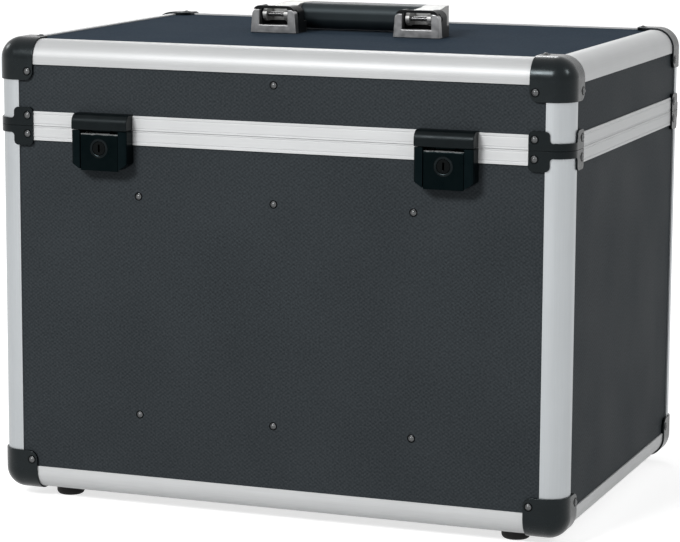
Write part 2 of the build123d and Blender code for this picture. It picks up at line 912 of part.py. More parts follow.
def arm(hand):
    """Cast arm: a fork on the pin and a bar that widens to the end of the grip. hand is 1 at the right."""
    centre = hand * handle_centre
    reach = arm_half_width + grip_mitre
    bar_bottom = panel_top_z + arm_bottom
    bar_top = panel_top_z + arm_top
    grip_top = grip_z + grip_thickness / 2
    grip_end = grip_start + grip_depth
    outer = arm_half_width - arm_taper
    with BuildPart() as cast:
        with BuildSketch(Plane.YZ.offset(centre - reach)):
            with Locations((swing_y, swing_z)):
                Circle(arm_eye)
            with BuildLine():
                Polyline(
                    (swing_y, bar_bottom),
                    (grip_start, bar_bottom),
                    (grip_start + grip_round, grip_top - grip_thickness),
                    (grip_start + grip_round, grip_top),
                    (swing_y + fork_depth, bar_top),
                    (swing_y, bar_top),
                    close=True,
                )
            make_face()
            with Locations((grip_y, grip_z)):
                RectangleRounded(grip_depth, grip_thickness, grip_round)
        extrude(amount=2 * reach)
        with BuildSketch(Plane.XY.offset(panel_top_z)) as outline:
            with BuildLine():
                Polyline(
                    (centre - hand * arm_half_width, swing_y - arm_eye),
                    (centre + hand * arm_half_width, swing_y - arm_eye),
                    (centre + hand * arm_half_width, swing_y + arm_taper_start),
                    (centre + hand * outer, grip_end - arm_corner),
                    (centre + hand * outer, grip_end),
                    (centre - hand * (arm_half_width + grip_mitre), grip_end),
                    (centre - hand * (arm_half_width - grip_mitre), grip_start),
                    (centre - hand * arm_half_width, swing_y + arm_taper_start),
                    close=True,
                )
            make_face()
            corner = (centre + hand * outer, grip_end, 0)
            fillet(outline.vertices().sort_by_distance(corner)[0], arm_corner)
        extrude(amount=2 * grip_thickness, mode=Mode.INTERSECT)
        with BuildSketch(Plane.YZ.offset(centre - fork_half_gap)):
            with Locations((swing_y - arm_eye, panel_top_z)):
                Rectangle(arm_eye + fork_depth, 2 * arm_top, align=LOW)
        extrude(amount=2 * fork_half_gap, mode=Mode.SUBTRACT)
        with BuildSketch(Plane.YZ.offset(centre)):
            with Locations((swing_y, swing_z)):
                Circle(handle_pin_radius + pin_play)
        extrude(amount=arm_half_width, both=True, mode=Mode.SUBTRACT)
    return cast.part


with BuildPart() as handle_arms:
    add(arm(-1))
    add(arm(1))
save(handle_arms.part, "handle_arms")

grip_half = handle_centre - arm_half_width
with BuildPart() as handle_grip:
    with BuildSketch(Plane.YZ.offset(-grip_half - grip_mitre)):
        with Locations((grip_y, grip_z)):
            RectangleRounded(grip_depth, grip_thickness, grip_round)
    extrude(amount=2 * (grip_half + grip_mitre))
    with BuildSketch(Plane.XY.offset(panel_top_z)):
        with BuildLine():
            Polyline(
                (-grip_half - grip_mitre, grip_start),
                (grip_half + grip_mitre, grip_start),
                (grip_half - grip_mitre, grip_start + grip_depth),
                (-grip_half + grip_mitre, grip_start + grip_depth),
                close=True,
            )
        make_face()
    extrude(amount=2 * grip_thickness, mode=Mode.INTERSECT)
save(handle_grip.part, "handle_grip")

print("whole width", case_width, "front to back", case_depth + latch_proud + hinge_proud)
print("hinge axis", axis_y, part_z, "latch pin", pin_y, pin_z)
print("key z", part_z - key_drop, "handle axis", swing_y, swing_z)
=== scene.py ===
import math

import bpy
from mathutils import Matrix, Vector


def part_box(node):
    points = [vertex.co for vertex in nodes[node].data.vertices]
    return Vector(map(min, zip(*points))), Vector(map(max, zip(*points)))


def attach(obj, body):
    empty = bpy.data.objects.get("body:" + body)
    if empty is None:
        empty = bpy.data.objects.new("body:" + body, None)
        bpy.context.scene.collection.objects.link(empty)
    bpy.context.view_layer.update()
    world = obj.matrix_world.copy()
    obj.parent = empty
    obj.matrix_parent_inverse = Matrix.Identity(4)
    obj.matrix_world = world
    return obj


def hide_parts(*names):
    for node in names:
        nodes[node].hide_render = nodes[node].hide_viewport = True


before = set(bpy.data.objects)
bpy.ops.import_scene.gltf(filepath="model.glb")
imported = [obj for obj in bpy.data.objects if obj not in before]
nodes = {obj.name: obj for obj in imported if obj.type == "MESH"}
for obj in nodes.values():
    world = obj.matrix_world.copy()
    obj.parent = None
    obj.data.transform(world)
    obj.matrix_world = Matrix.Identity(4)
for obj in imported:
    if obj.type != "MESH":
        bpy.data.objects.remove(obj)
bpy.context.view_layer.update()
MM = 0.001
smooth_angle = math.radians(40)


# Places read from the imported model

case_low, case_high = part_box("body_posts")
left_x, right_x = case_low.x, case_high.x
front_y, back_y = case_low.y, case_high.y
base_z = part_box("base_front_edge")[0].z
top_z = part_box("top_front_edge")[1].z
part_z = sum(corner.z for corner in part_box("hinge_pins")) / 2
floor_of_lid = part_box("lid_top_panel")[0].z
cap_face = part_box("lid_corner_caps")[1].x - right_x
panel_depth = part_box("body_right_panel")[1].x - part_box("body_right_panel")[0].x
panel_recess = right_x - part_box("body_right_panel")[1].x


# Modelling helpers


def deselect():
    """Leave nothing selected."""
    bpy.ops.object.select_all(action="DESELECT")


def edit(obj):
    """Make one object the only selected one and enter edit mode with everything selected."""
    deselect()
    obj.select_set(True)
    bpy.context.view_layer.objects.active = obj
    bpy.ops.object.mode_set(mode="EDIT")
    bpy.ops.mesh.select_all(action="SELECT")


def leave_edit():
    """Close the edit with normals outwards."""
    bpy.ops.mesh.select_all(action="SELECT")
    bpy.ops.mesh.normals_make_consistent(inside=False)
    bpy.ops.object.mode_set(mode="OBJECT")


def place_in_mesh(obj):
    """Move an object's place into its mesh, so that the object stands at the origin."""
    deselect()
    obj.select_set(True)
    bpy.context.view_layer.objects.active = obj
    bpy.ops.object.transform_apply(location=True, rotation=True, scale=True)


def turned(name, rings, facets=32):
    """A turned piece about Z: rings are (radius, height) pairs from the bottom up, in metres."""
    deselect()
    radius, height = rings[0]
    bpy.ops.mesh.primitive_circle_add(
        vertices=facets, radius=radius, fill_type="NGON", location=(0, 0, height)
    )
    piece = bpy.context.object
    piece.name = name
    place_in_mesh(piece)
    edit(piece)
    for next_radius, next_height in rings[1:]:
        bpy.ops.mesh.extrude_region_move(
            TRANSFORM_OT_translate={"value": (0, 0, next_height - height)}
        )
        share = next_radius / radius
        bpy.ops.transform.resize(value=(share, share, 1), center_override=(0, 0, next_height))
        radius, height = next_radius, next_height
    leave_edit()
    deselect()
    return piece


def copies(name, pattern, spots, body, material):
    """Copies of a small piece, joined in one object. A spot is (point, outward direction)."""
    made = []
    for point, outwards in spots:
        turn = Vector(outwards).to_track_quat("Z", "Y").to_matrix().to_4x4()
        one = pattern.copy()
        one.data = pattern.data.copy()
        one.data.transform(Matrix.Translation(Vector(point)) @ turn)
        bpy.context.scene.collection.objects.link(one)
        made.append(one)
    deselect()
    for one in made:
        one.select_set(True)
    bpy.context.view_layer.objects.active = made[0]
    if len(made) > 1:
        bpy.ops.object.join()
    joined = bpy.context.object
    joined.name = name
    finish_piece(joined, body, material)
    return joined


def finish_piece(piece, body, material):
    """Give a new piece its material, its shading and the body that it rides on."""
    deselect()
    piece.select_set(True)
    bpy.context.view_layer.objects.active = piece
    bpy.ops.object.shade_smooth_by_angle(angle=smooth_angle)
    piece.data.materials.clear()
    piece.data.materials.append(material)
    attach(piece, body)
    deselect()


def remove(piece):
    """Delete a pattern that has been copied."""
    bpy.data.objects.remove(piece)


# Materials

# Most values of a noise lie in the first range. The second gives it more contrast.
noise_low, noise_high = 0.3, 0.7
clear_low, clear_high = 0.35, 0.65


def new_material(name, colour, roughness, metallic=0.0, specular=0.5):
    """A material with its shader's plain values set. Returns it with its node tree and shader."""
    material = bpy.data.materials.new(name)
    material.use_nodes = True
    tree = material.node_tree
    shader = tree.nodes["Principled BSDF"]
    shader.inputs["Base Color"].default_value = (*colour, 1)
    shader.inputs["Roughness"].default_value = roughness
    shader.inputs["Metallic"].default_value = metallic
    shader.inputs["Specular IOR Level"].default_value = specular
    return material, tree, shader


def object_place(tree, stretch=(1, 1, 1)):
    """Object coordinates, stretched."""
    coordinate = tree.nodes.new("ShaderNodeTexCoord")
    mapping = tree.nodes.new("ShaderNodeMapping")
    mapping.inputs["Scale"].default_value = stretch
    tree.links.new(coordinate.outputs["Object"], mapping.inputs["Vector"])
    return mapping.outputs["Vector"]


def noise(tree, place, size, detail=3.0, roughness=0.5):
    """Noise whose features are about the given size in metres."""
    texture = tree.nodes.new("ShaderNodeTexNoise")
    texture.inputs["Scale"].default_value = 1 / size
    texture.inputs["Detail"].default_value = detail
    texture.inputs["Roughness"].default_value = roughness
    tree.links.new(place, texture.inputs["Vector"])
    return texture.outputs["Fac"]


def spread(tree, value, low, high, start=0.0, end=1.0):
    """Map a value from start..end to low..high."""
    node = tree.nodes.new("ShaderNodeMapRange")
    node.inputs["From Min"].default_value = start
    node.inputs["From Max"].default_value = end
    node.inputs["To Min"].default_value = low
    node.inputs["To Max"].default_value = high
    tree.links.new(value, node.inputs["Value"])
    return node.outputs["Result"]


def mathematics(tree, operation, first, second=None):
    """A math node on sockets or numbers."""
    node = tree.nodes.new("ShaderNodeMath")
    node.operation = operation
    for socket, value in zip(node.inputs, (first, second)):
        if value is None:
            continue
        if isinstance(value, (int, float)):
            socket.default_value = value
        else:
            tree.links.new(value, socket)
    return node.outputs["Value"]


def blend_colours(tree, factor, first, second):
    """A colour between two, by a factor socket."""
    node = tree.nodes.new("ShaderNodeMix")
    node.data_type = "RGBA"
    node.inputs["A"].default_value = (*first, 1)
    node.inputs["B"].default_value = (*second, 1)
    tree.links.new(factor, node.inputs["Factor"])
    return node.outputs["Result"]


def colour_between(tree, shader, factor, first, second):
    """Base colour of a shader between two, by a factor socket."""
    tree.links.new(blend_colours(tree, factor, first, second), shader.inputs["Base Color"])


def roughness_between(tree, shader, value, low, high):
    """Roughness of a shader between two numbers, by a noise."""
    rough = spread(tree, value, low, high, noise_low, noise_high)
    tree.links.new(rough, shader.inputs["Roughness"])


def bump(tree, shader, height, distance, strength):
    """Bump of a real depth in metres."""
    node = tree.nodes.new("ShaderNodeBump")
    node.inputs["Distance"].default_value = distance
    node.inputs["Strength"].default_value = strength
    tree.links.new(height, node.inputs["Height"])
    tree.links.new(node.outputs["Normal"], shader.inputs["Normal"])


def slanted_sine(tree, place, rows):
    """Sine across slanted rows. rows gives the number of rows per metre along X, Y and Z."""
    dot = tree.nodes.new("ShaderNodeVectorMath")
    dot.operation = "DOT_PRODUCT"
    tree.links.new(place, dot.inputs[0])
    dot.inputs[1].default_value = [2 * math.pi * part for part in rows]
    return mathematics(tree, "SINE", dot.outputs["Value"])


diamond_width = 4.0 * MM
diamond_height = 3.0 * MM
diamond_share = 0.44
speck_share = 0.56
cloud_share = 0.07


def laminate(name, dark, light, upright, gloss, roughness):
    """Hard laminate of an upright or flat panel, with fine diamonds, specks and soft clouds."""
    material, tree, shader = new_material(name, dark, roughness, specular=gloss)
    place = object_place(tree)
    across, up = 1 / diamond_width, 1 / diamond_height
    rising = (across, across, up) if upright else (across, up, 0)
    falling = (across, across, -up) if upright else (across, -up, 0)
    crossing = (slanted_sine(tree, place, rising), slanted_sine(tree, place, falling))
    diamonds = spread(tree, mathematics(tree, "ADD", *crossing), 0, diamond_share, -2, 2)
    specks = spread(tree, noise(tree, place, 1.6 * MM, 2), 0, speck_share, noise_low, noise_high)
    grain = mathematics(tree, "ADD", diamonds, specks)
    cloud = noise(tree, place, 60 * MM, 4)
    clouds = spread(tree, cloud, -cloud_share, cloud_share, noise_low, noise_high)
    colour_between(tree, shader, mathematics(tree, "ADD", clouds, grain), dark, light)
    roughness_between(tree, shader, cloud, roughness - 0.04, roughness + 0.06)
    bump(tree, shader, grain, 0.08 * MM, 0.5)
    return material


def satin_aluminium(name, stretch, colour=(0.63, 0.64, 0.645), roughness=0.44, metallic=0.22):
    """Anodised aluminium with drawing lines along its length."""
    material, tree, shader = new_material(name, colour, roughness, metallic, 0.05)
    lines = noise(tree, object_place(tree, stretch), 0.5 * MM, 2)
    cloud = noise(tree, object_place(tree), 35 * MM, 3)
    darker = tuple(0.93 * part for part in colour)
    line_part = spread(tree, lines, 0, 0.6, clear_low, clear_high)
    cloud_part = spread(tree, cloud, 0, 0.4, clear_low, clear_high)
    colour_between(tree, shader, mathematics(tree, "ADD", line_part, cloud_part), darker, colour)
    tree.links.new(spread(tree, lines, roughness - 0.04, roughness + 0.06), shader.inputs["Roughness"])
    bump(tree, shader, lines, 0.02 * MM, 0.5)
    return material


def black_coat(name, colour, roughness, peel, gloss, tint=(0.84, 0.96, 1.0)):
    """Black paint on metal with a slight orange peel and faint handling marks."""
    material, tree, shader = new_material(name, colour, roughness, specular=gloss)
    shader.inputs["Specular Tint"].default_value = (*tint, 1)
    place = object_place(tree)
    dimples = noise(tree, place, 1.4 * MM, 2)
    marks = noise(tree, place, 9 * MM, 5, 0.6)
    lighter = tuple(part * 1.5 + 0.001 for part in colour)
    colour_between(tree, shader, spread(tree, marks, 0, 1, clear_low, noise_high), colour, lighter)
    roughness_between(tree, shader, marks, roughness - 0.05, roughness + 0.08)
    bump(tree, shader, dimples, peel, 0.5)
    return material


# Colour of the painted highlight along the levers' top edges.
edge_highlight_colour = (0.20, 0.21, 0.21)


def painted_edge_highlight(material, level, width):
    """A painted highlight along an upper edge: a ragged lighter strip just below it. level is the edge's
    height, width the strip's.
    """
    tree = material.node_tree
    shader = tree.nodes["Principled BSDF"]
    paint = shader.inputs["Base Color"].links[0].from_socket
    place = object_place(tree)
    split = tree.nodes.new("ShaderNodeSeparateXYZ")
    tree.links.new(place, split.inputs["Vector"])
    height = split.outputs["Z"]
    wander = spread(tree, noise(tree, place, 3 * MM), -width / 2, width / 2, noise_low, noise_high)
    ragged = mathematics(tree, "ADD", height, wander)
    highlight_rise = spread(tree, ragged, 0, 1, level - width, level - 0.6 * width)
    below = spread(tree, height, 1, 0, level + 0.1 * MM, level + 0.2 * MM)
    highlight_share = mathematics(tree, "MULTIPLY", highlight_rise, below)
    mix = tree.nodes.new("ShaderNodeMix")
    mix.data_type = "RGBA"
    mix.inputs["B"].default_value = (*edge_highlight_colour, 1)
    tree.links.new(highlight_share, mix.inputs["Factor"])
    tree.links.new(paint, mix.inputs["A"])
    tree.links.new(mix.outputs["Result"], shader.inputs["Base Color"])


def bare_metal(name, colour, roughness, pit_depth=0.03 * MM):
    """Plated or cast metal with fine pits and soft stains."""
    material, tree, shader = new_material(name, colour, roughness, metallic=1.0)
    place = object_place(tree)
    pits = noise(tree, place, 0.6 * MM, 3)
    stains = noise(tree, place, 6 * MM, 4, 0.6)
    darker = tuple(0.8 * part for part in colour)
    colour_between(tree, shader, spread(tree, stains, 0, 1, clear_low, clear_high), darker, colour)
    roughness_between(tree, shader, stains, roughness - 0.05, roughness + 0.1)
    bump(tree, shader, pits, pit_depth, 0.4)
    return material


def moulded(name, colour, roughness, grain_size, depth, specular=0.4, tint=(1.0, 1.0, 1.0)):
    """Rubber or moulded plastic with a fine spark grain."""
    material, tree, shader = new_material(name, colour, roughness, specular=specular)
    shader.inputs["Specular Tint"].default_value = (*tint, 1)
    place = object_place(tree)
    grain = noise(tree, place, grain_size, 3)
    cloud = noise(tree, place, 14 * MM, 3)
    lighter = tuple(part * 1.5 + 0.002 for part in colour)
    colour_between(tree, shader, spread(tree, cloud, 0, 1, noise_low, noise_high), colour, lighter)
    roughness_between(tree, shader, grain, roughness - 0.06, roughness + 0.08)
    bump(tree, shader, grain, depth, 0.7)
    return material


side_laminate = laminate("side laminate", (0.022, 0.026, 0.029), (0.050, 0.058, 0.064), True, 0.018, 0.5)
# The flat panels take a bluer copy of the laminate: its blue is a painted reflection of the sky.
flat_laminate_painted_sky = laminate("flat laminate with painted sky reflection", (0.020, 0.031, 0.045), (0.038, 0.053, 0.072), False, 0.004, 0.7)

drawn_x = (0.01, 1, 1)
drawn_y = (1, 0.01, 1)
drawn_z = (1, 1, 0.01)
crosswise_metal = satin_aluminium("aluminium drawn crosswise", drawn_x)
# The top front and back edges take a darker copy of the crosswise aluminium: painted shade.
shaded_top_crosswise_metal = satin_aluminium("top aluminium drawn crosswise, painted shade", drawn_x, (0.52, 0.528, 0.532))
lengthwise_metal = satin_aluminium("aluminium drawn lengthwise", drawn_y)
post_metal = satin_aluminium("aluminium drawn upright", drawn_z, (0.425, 0.445, 0.458), 0.42, 0.85)
channel_metal = satin_aluminium("mill aluminium", drawn_z, (0.62, 0.63, 0.63), 0.5)

deep_tint = (0.50, 0.90, 1.0)
lever_top = part_z - 2.6 * MM
edge_highlight_width = 0.75 * MM
cap_paint = black_coat("gloss black caps", (0.0006, 0.0014, 0.0018), 0.24, 0.012 * MM, 0.24)
clip_paint = black_coat("satin black clips", (0.0008, 0.0018, 0.0022), 0.24, 0.012 * MM, 0.16)
keeper_paint = black_coat("satin black keepers", (0.0004, 0.0014, 0.0018), 0.34, 0.012 * MM, 0.12)
plate_paint = black_coat(
    "satin black latch plates", (0.0003, 0.0012, 0.0016), 0.34, 0.012 * MM, 0.06, deep_tint
)
lever_paint = black_coat("black levers", (0.0002, 0.0010, 0.0012), 0.30, 0.02 * MM, 0.04, deep_tint)
# The levers' top edges get a painted highlight line in their colour.
painted_edge_highlight(lever_paint, lever_top, edge_highlight_width)
hinge_paint = black_coat("satin black hinges", (0.006, 0.007, 0.007), 0.36, 0.03 * MM, 0.2)
plug_paint = black_coat("black key plugs", (0.0008, 0.0010, 0.0010), 0.22, 0.01 * MM, 0.06)
# The rivet cups' black is painted shade round each rivet head.
cup_shade_paint = black_coat("rivet cups painted as shade", (0.0010, 0.0014, 0.0016), 0.35, 0.01 * MM, 0.05)

rivet_metal = bare_metal("black nickel rivets", (0.115, 0.118, 0.120), 0.27, 0.002 * MM)
pin_steel = bare_metal("dark steel pins", (0.11, 0.11, 0.11), 0.24, 0.003 * MM)
spring_wire = bare_metal("spring wire", (0.50, 0.50, 0.50), 0.3, 0.01 * MM)
ring_metal = bare_metal("key ring", (0.010, 0.013, 0.014), 0.22, 0.005 * MM)
pewter = bare_metal("pewter bezels", (0.30, 0.302, 0.306), 0.32)
cast_metal = bare_metal("cast arms", (0.34, 0.34, 0.335), 0.48, 0.05 * MM)
plated_steel = bare_metal("plated steel", (0.55, 0.55, 0.54), 0.3, 0.02 * MM)

grip_tint = (0.80, 0.94, 1.0)
grip_rubber = moulded("grip rubber", (0.0022, 0.0040, 0.0052), 0.50, 0.35 * MM, 0.012 * MM, 0.36, grip_tint)
bracket_plastic = moulded("black brackets", (0.003, 0.0035, 0.004), 0.40, 0.5 * MM, 0.02 * MM, 0.12)
foot_rubber = moulded("foot rubber", (0.008, 0.008, 0.008), 0.6, 0.6 * MM, 0.04 * MM, 0.2)
corner_plastic = moulded("inner corner plastic", (0.012, 0.012, 0.013), 0.5, 0.5 * MM, 0.02 * MM, 0.25)
divider_board = moulded("divider board", (0.030, 0.031, 0.033), 0.62, 0.9 * MM, 0.05 * MM)
lining = moulded("black lining", (0.016, 0.017, 0.018), 0.8, 0.7 * MM, 0.08 * MM, 0.1)


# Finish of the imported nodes


def round_edges(node, width, segments=2):
    """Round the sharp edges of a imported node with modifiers, and shade it smooth."""
    weld = node.modifiers.new("weld", "WELD")
    weld.merge_threshold = 0.01 * MM
    flat = node.modifiers.new("flat faces", "DECIMATE")
    flat.decimate_type = "DISSOLVE"
    flat.angle_limit = math.radians(0.5)
    bevel = node.modifiers.new("soft edges", "BEVEL")
    bevel.width = width
    bevel.segments = segments
    bevel.limit_method = "ANGLE"
    bevel.angle_limit = math.radians(30)
    even = node.modifiers.new("even shading", "WEIGHTED_NORMAL")
    even.mode = "FACE_AREA"
    even.weight = 50
    for face in node.data.polygons:
        face.use_smooth = True


def dress(names, material, edge_width, segments=2):
    """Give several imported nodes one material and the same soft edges."""
    for name in names:
        node = nodes[name]
        node.data.materials.clear()
        node.data.materials.append(material)
        round_edges(node, edge_width, segments)


def line_inside(name, material):
    """Cover the face of a panel that looks at the middle of the case with the lining."""
    node = nodes[name]
    node.data.materials.append(material)
    middle = Vector((0, 0, part_z / 2))
    least_distance = 100 * MM
    for face in node.data.polygons:
        if face.normal.dot(middle - face.center) > least_distance:
            face.material_index = 1


sides = ("front", "back", "left", "right")
upright_panels = [f"{body}_{side}_panel" for body in ("body", "lid") for side in sides]
flat_panels = ["body_bottom_panel", "lid_top_panel"]
dress(upright_panels, side_laminate, 0.15 * MM)
dress(flat_panels, flat_laminate_painted_sky, 0.15 * MM)
for panel in upright_panels + flat_panels:
    line_inside(panel, lining)
for side in sides:
    crosswise = side in ("front", "back")
    metal = crosswise_metal if crosswise else lengthwise_metal
    dress([f"base_{side}_edge"], metal, 0.25 * MM)
    dress([f"top_{side}_edge"], shaded_top_crosswise_metal if crosswise else metal, 0.25 * MM)
    dress([f"body_{side}_rail", f"lid_{side}_rail"], metal, 0.12 * MM)
dress(["body_posts", "lid_posts"], post_metal, 0.25 * MM)
dress(["body_corner_caps", "lid_corner_caps"], cap_paint, 0.5 * MM, 3)
dress(["body_corner_clips", "lid_corner_clips"], clip_paint, 0.8 * MM, 3)
dress(["body_inner_corners", "lid_inner_corners"], corner_plastic, 0.3 * MM)
dress(["left_latch_base", "right_latch_base"], plate_paint, 0.35 * MM, 3)
dress(["latch_keepers"], keeper_paint, 0.6 * MM, 3)
dress(["left_latch_lever", "right_latch_lever"], lever_paint, 0.6 * MM, 3)
dress(["left_key_plug", "right_key_plug"], plug_paint, 0.2 * MM)
dress(["latch_pins", "hinge_pins", "handle_pins"], pin_steel, 0.2 * MM)
dress(["latch_springs"], spring_wire, 0.05 * MM, 1)
dress(["hinge_body_leaves", "hinge_lid_leaves"], hinge_paint, 0.3 * MM)
dress(["divider_channels"], channel_metal, 0.3 * MM)
dress(["divider_left", "divider_middle", "divider_right"], divider_board, 0.4 * MM)
dress(["handle_bases"], bracket_plastic, 0.7 * MM, 3)
dress(["handle_bezels"], pewter, 0.7 * MM, 3)
dress(["handle_arms"], cast_metal, 0.8 * MM, 3)
dress(["handle_grip"], grip_rubber, 0.5 * MM, 3)
dress(["feet"], foot_rubber, 0.6 * MM, 3)


# Rivets

cap_rivet_along = 26.5 * MM
cap_rivet_up = 24.0 * MM
clip_rivet_along = 26.5 * MM
clip_rivet_above = 8.1 * MM
clip_rivet_below = 6.2 * MM
panel_rivet_low = 75.3 * MM
panel_rivet_high = 245.5 * MM
lid_rivet_z = 335.0 * MM


def domed_rivet(name, head, grip):
    """A rivet with a domed head above Z = 0, a rim round it and a flat tail at the end of its grip."""
    tail = 0.85 * head
    rings = [
        (0.5 * tail, -grip - 0.9 * MM),
        (0.9 * tail, -grip - 0.8 * MM),
        (tail, -grip - 0.5 * MM),
        (tail, -grip),
        (0.55 * head, -grip),
        (0.55 * head, 0),
        (1.12 * head, 0),
        (1.12 * head, 0.22 * MM),
        (0.98 * head, 0.34 * MM),
        (0.90 * head, 0.60 * MM),
        (0.72 * head, 0.95 * MM),
        (0.48 * head, 1.18 * MM),
        (0.22 * head, 1.28 * MM),
    ]
    return turned(name, rings)


def rivet_cup(name, head):
    """The pressed cup that a rivet head sits in; its black is painted shade round the head."""
    rings = [
        (1.10 * head, 0.02 * MM),
        (1.62 * head, 0.02 * MM),
        (1.60 * head, 0.14 * MM),
        (1.46 * head, 0.26 * MM),
        (1.30 * head, 0.24 * MM),
        (1.14 * head, 0.10 * MM),
    ]
    return turned(name, rings)


def face_spots(side, along, level, proud):
    """Two points on a side of the case, one near each of its ends. along is measured from there."""
    if side in ("front", "back"):
        y = front_y - proud if side == "front" else back_y + proud
        outwards = (0, -1, 0) if side == "front" else (0, 1, 0)
        return [((x, y, level), outwards) for x in (left_x + along, right_x - along)]
    x = left_x - proud if side == "left" else right_x + proud
    outwards = (-1, 0, 0) if side == "left" else (1, 0, 0)
    return [((x, y, level), outwards) for y in (front_y + along, back_y - along)]


def cap_spots(level, up):
    """Rivet places on the four caps at the base or the top: two upright flanges and the flat one."""
    spots = []
    for side in sides:
        spots += face_spots(side, cap_rivet_along, level + up * cap_rivet_up, cap_face)
    for x in (left_x + cap_rivet_along, right_x - cap_rivet_along):
        for y in (front_y + cap_rivet_up, back_y - cap_rivet_up):
            spots.append(((x, y, level - up * cap_face), (0, 0, -up)))
    return spots


def clip_spots(level):
    """Rivet places on the four clips at one height."""
    return [spot for side in sides for spot in face_spots(side, clip_rivet_along, level, cap_face)]


through_cap = cap_face + panel_recess + panel_depth
cap_head = 2.1 * MM
cap_rivet = domed_rivet("cap rivet", cap_head, through_cap)
cap_cup = rivet_cup("cap rivet cup", cap_head)
for prefix, spots, body in (
    ("body_cap", cap_spots(base_z, 1), "case"),
    ("lid_cap", cap_spots(top_z, -1), "lid"),
    ("body_clip", clip_spots(part_z - clip_rivet_below), "case"),
    ("lid_clip", clip_spots(part_z + clip_rivet_above), "lid"),
):
    copies(prefix + "_rivets", cap_rivet, spots, body, rivet_metal)
    copies(prefix + "_rivet_cups", cap_cup, spots, body, cup_shade_paint)
remove(cap_rivet)
remove(cap_cup)

channel_thickness = 3.0 * MM
panel_head = 2.0 * MM
panel_rivet = domed_rivet("panel rivet", panel_head, panel_depth + channel_thickness)
panel_cup = rivet_cup("panel rivet cup", panel_head)
panel_spots = []
for hand in ("left", "middle", "right"):
    column = sum(corner.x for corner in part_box(f"divider_{hand}")) / 2
    for level in (panel_rivet_low, panel_rivet_high):
        panel_spots.append(((column, front_y + panel_recess, level), (0, -1, 0)))
        panel_spots.append(((column, back_y - panel_recess, level), (0, 1, 0)))
lid_rivet_spots = [((0, front_y + panel_recess, lid_rivet_z), (0, -1, 0))]
copies("panel_rivets", panel_rivet, panel_spots, "case", rivet_metal)
copies("panel_rivet_cups", panel_cup, panel_spots, "case", cup_shade_paint)
copies("lid_front_rivet", panel_rivet, lid_rivet_spots, "lid", rivet_metal)
copies("lid_front_rivet_cup", panel_cup, lid_rivet_spots, "lid", cup_shade_paint)
remove(panel_rivet)
remove(panel_cup)

hinge_leaf = 1.5 * MM
hinge_width = 50.0 * MM
hinge_head = 2.2 * MM
hinge_rivet_along = 15.0 * MM
hinge_rivet_up = 20.0 * MM
hinge_rivet = domed_rivet("hinge rivet", hinge_head, hinge_leaf + panel_recess + panel_depth)
hinge_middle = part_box("hinge_pins")[1].x - hinge_width / 2
body_hinge_spots = []
lid_hinge_spots = []
for centre in (-hinge_middle, hinge_middle):
    for x in (centre - hinge_rivet_along, centre + hinge_rivet_along):
        body_hinge_spots.append(((x, back_y + hinge_leaf, part_z - hinge_rivet_up), (0, 1, 0)))
        lid_hinge_spots.append(((x, back_y + hinge_leaf, part_z + hinge_rivet_up), (0, 1, 0)))
copies("body_hinge_rivets", hinge_rivet, body_hinge_spots, "case", rivet_metal)
copies("lid_hinge_rivets", hinge_rivet, lid_hinge_spots, "lid", rivet_metal)
remove(hinge_rivet)


# Feet with their screws

feet_low, feet_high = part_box("feet")
foot_radius = 11.0 * MM
foot_height = feet_high.z - feet_low.z
foot_well = foot_height - 5.0 * MM
foot_spots = []
for x in (feet_low.x + foot_radius, feet_high.x - foot_radius):
    for y in (feet_low.y + foot_radius, feet_high.y - foot_radius):
        foot_spots.append(((x, y, feet_high.z), (0, 0, -1)))
foot = turned(
    "foot",
    [
        (foot_radius, 0),
        (foot_radius, foot_height - 2.8 * MM),
        (10.8 * MM, foot_height - 1.8 * MM),
        (10.2 * MM, foot_height - 0.7 * MM),
        (9.3 * MM, foot_height),
        (6.2 * MM, foot_height),
        (5.6 * MM, foot_height - 0.4 * MM),
        (5.4 * MM, foot_well),
        (0.5 * MM, foot_well),
    ],
    facets=48,
)
feet = copies("rubber_feet", foot, foot_spots, "case", foot_rubber)
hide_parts("feet")
remove(foot)
foot_screw = turned(
    "foot screw",
    [
        (4.2 * MM, foot_well),
        (4.2 * MM, foot_well + 0.7 * MM),
        (3.7 * MM, foot_well + 1.5 * MM),
        (2.6 * MM, foot_well + 2.1 * MM),
        (1.4 * MM, foot_well + 2.3 * MM),
    ],
)
copies("foot_screws", foot_screw, foot_spots, "case", plated_steel)
remove(foot_screw)


# Screws of the handle under the lid, and rivet tails of the latches inside the body


def washer_screw(name, head):
    """A pan head on a wide washer, standing on Z = 0."""
    rings = [
        (2.0 * head, 0),
        (2.0 * head, 0.7 * MM),
        (1.9 * head, 0.9 * MM),
        (1.05 * head, 0.9 * MM),
        (1.0 * head, 1.0 * MM),
        (0.98 * head, 2.1 * MM),
        (0.86 * head, 2.8 * MM),
        (0.60 * head, 3.2 * MM),
        (0.42 * head, 3.2 * MM),
        (0.36 * head, 1.9 * MM),
    ]
    return turned(name, rings)


bracket_low, bracket_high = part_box("handle_bases")
bracket_width = 39.0 * MM
bracket_middle_x = bracket_high.x - bracket_width / 2
bracket_middle_y = (bracket_low.y + bracket_high.y) / 2
handle_screw_along = 11.0 * MM
handle_screw_head = 3.4 * MM
handle_screw = washer_screw("handle screw", handle_screw_head)
handle_spots = []
for centre in (-bracket_middle_x, bracket_middle_x):
    for x in (centre - handle_screw_along, centre + handle_screw_along):
        handle_spots.append(((x, bracket_middle_y, floor_of_lid), (0, 0, -1)))
copies("handle_screws", handle_screw, handle_spots, "lid", plated_steel)
remove(handle_screw)

